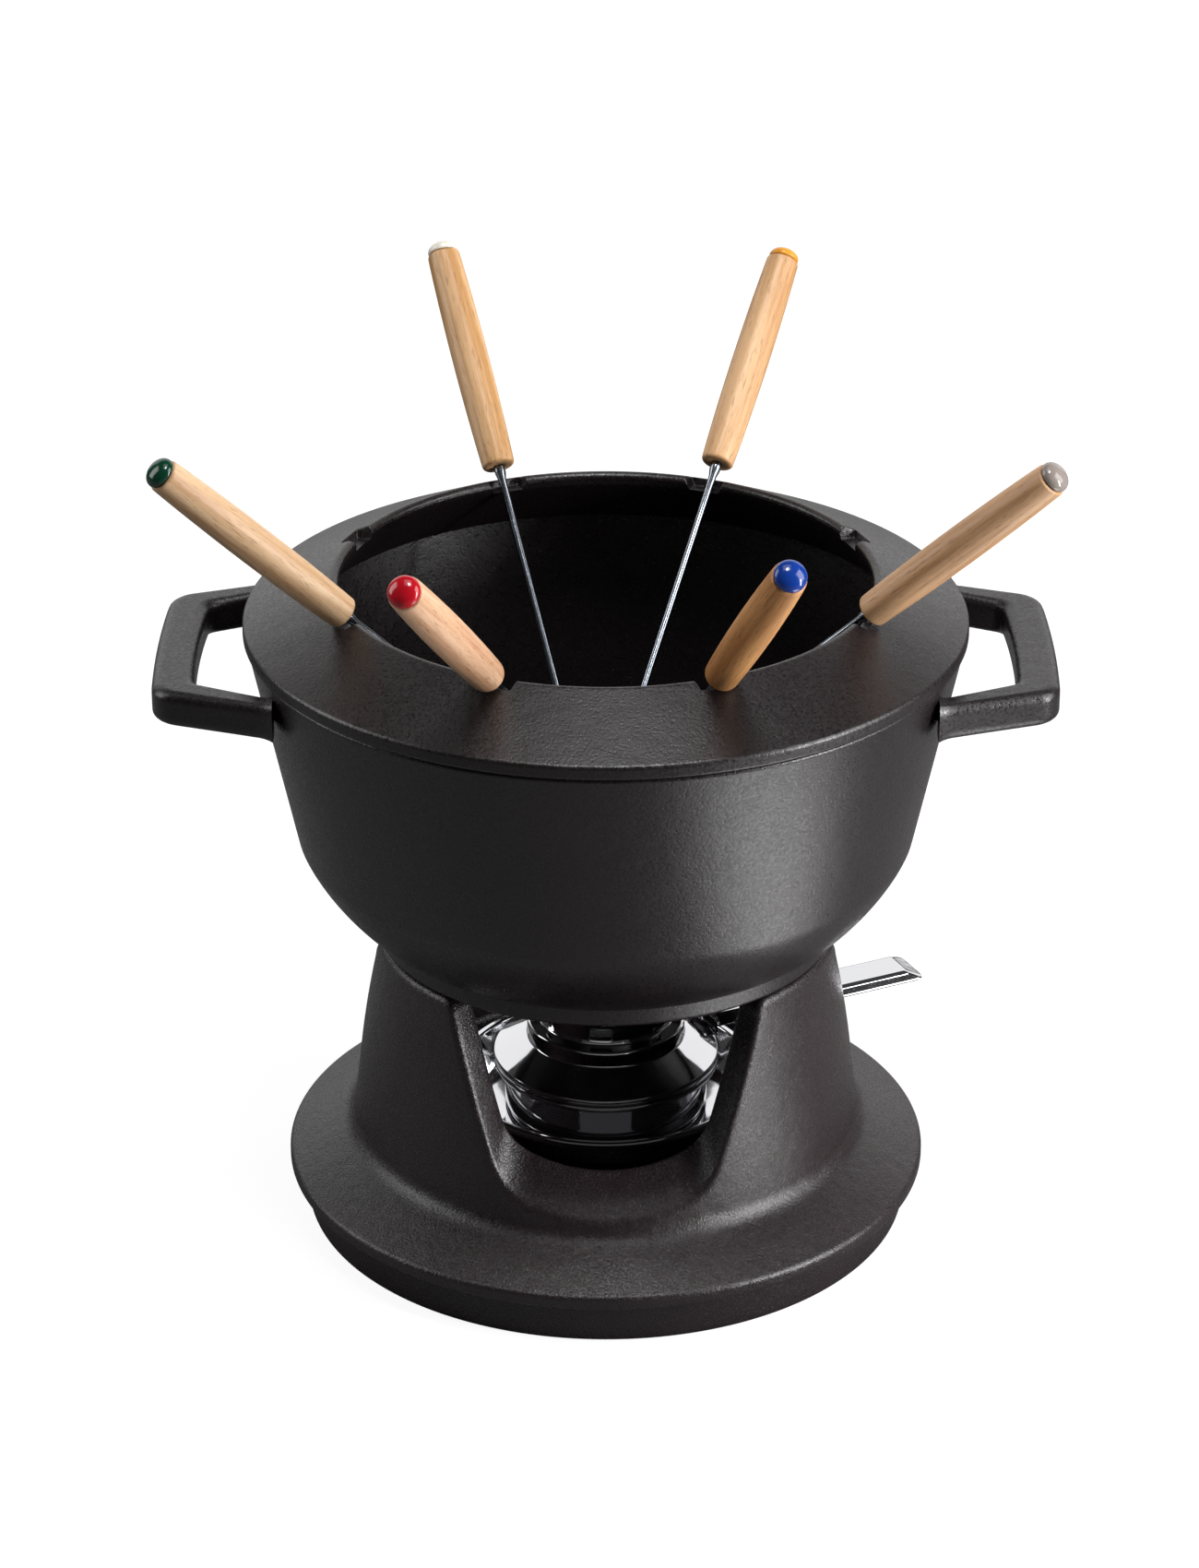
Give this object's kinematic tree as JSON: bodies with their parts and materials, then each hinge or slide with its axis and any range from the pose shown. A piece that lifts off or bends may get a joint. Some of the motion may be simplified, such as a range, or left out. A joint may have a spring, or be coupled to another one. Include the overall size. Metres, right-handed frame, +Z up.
{
  "type": "fondue pot set",
  "caption": "Round enamelled cast-iron fondue pot with loop handles on a windowed stand, with notched splash ring, wood-handled forks and a spirit burner with a regulator handle.",
  "frame": {"origin": "centre of the stand's foot on the table, on the axis of the stand, pot and ring", "axes": "+Z up, -Y towards the front window of the stand, +X and -X along the two loop handles"},
  "size_m": [0.2644, 0.2642, 0.2644],
  "materials": {
    "black_enamel": "matte black enamel on cast iron, fine orange peel, gloss inside the pot",
    "polished_chrome": "mirror-polished pressed sheet",
    "mineral_wadding": "absorbent felted wadding",
    "steel_gauze": "woven wire gauze",
    "fork_steel": "bright drawn stainless steel",
    "oiled_wood": "oiled open-pored hardwood, grain along the handle",
    "cap_green": "glossy moulded plastic",
    "cap_white": "glossy moulded plastic",
    "cap_orange": "glossy moulded plastic",
    "cap_grey": "glossy moulded plastic",
    "cap_red": "glossy moulded plastic",
    "cap_blue": "glossy moulded plastic"
  },
  "bodies": {
    "stand": {"stand_casting": "black_enamel"},
    "pot": {"pot_casting": "black_enamel"},
    "ring": {"splash_ring": "black_enamel"},
    "burner": {"burner_tray": "polished_chrome", "fuel_cup": "polished_chrome", "wick_pad": "mineral_wadding", "gauze_disc": "steel_gauze"},
    "burner_top": {"vent_sleeve": "polished_chrome"},
    "regulator": {"regulator_cover": "polished_chrome", "regulator_handle": "polished_chrome"},
    "fork_green": {"fork_rod_green": "fork_steel", "fork_handle_green": "oiled_wood", "fork_cap_green": "cap_green"},
    "fork_white": {"fork_rod_white": "fork_steel", "fork_handle_white": "oiled_wood", "fork_cap_white": "cap_white"},
    "fork_orange": {"fork_rod_orange": "fork_steel", "fork_handle_orange": "oiled_wood", "fork_cap_orange": "cap_orange"},
    "fork_grey": {"fork_rod_grey": "fork_steel", "fork_handle_grey": "oiled_wood", "fork_cap_grey": "cap_grey"},
    "fork_red": {"fork_rod_red": "fork_steel", "fork_handle_red": "oiled_wood", "fork_cap_red": "cap_red"},
    "fork_blue": {"fork_rod_blue": "fork_steel", "fork_handle_blue": "oiled_wood", "fork_cap_blue": "cap_blue"}
  },
  "joints": [
    {"name": "pot_lift", "type": "slide", "parent": "stand", "child": "pot", "axis": [0, 0, 1], "range_m": [0, 0.12]},
    {"name": "ring_lift", "type": "slide", "parent": "pot", "child": "ring", "axis": [0, 0, 1], "range_m": [0, 0.11]},
    {"name": "burner_lift", "type": "slide", "parent": "stand", "child": "burner", "axis": [0, 0, 1], "range_m": [0, 0.012]},
    {"name": "burner_top_lift", "type": "slide", "parent": "burner", "child": "burner_top", "axis": [0, 0, 1], "range_m": [0, 0.012]},
    {"name": "regulator_turn", "type": "hinge", "parent": "burner_top", "child": "regulator", "pos_m": [0, 0, 0.0457], "axis": [0, 0, 1], "range_deg": [-12, 20]},
    {"name": "fork_pull_green", "type": "slide", "parent": "ring", "child": "fork_green", "axis": [-0.6583, -0.2808, 0.6984], "range_m": [0, 0.165]},
    {"name": "fork_pull_white", "type": "slide", "parent": "ring", "child": "fork_white", "axis": [-0.2437, 0.6625, 0.7083], "range_m": [0, 0.165]},
    {"name": "fork_pull_orange", "type": "slide", "parent": "ring", "child": "fork_orange", "axis": [0.2913, 0.6999, 0.6521], "range_m": [0, 0.165]},
    {"name": "fork_pull_grey", "type": "slide", "parent": "ring", "child": "fork_grey", "axis": [0.6547, -0.3151, 0.6871], "range_m": [0, 0.165]},
    {"name": "fork_pull_red", "type": "slide", "parent": "ring", "child": "fork_red", "axis": [-0.2762, -0.7085, 0.6494], "range_m": [0, 0.165]},
    {"name": "fork_pull_blue", "type": "slide", "parent": "ring", "child": "fork_blue", "axis": [0.2227, -0.6814, 0.6972], "range_m": [0, 0.165]}
  ]
}
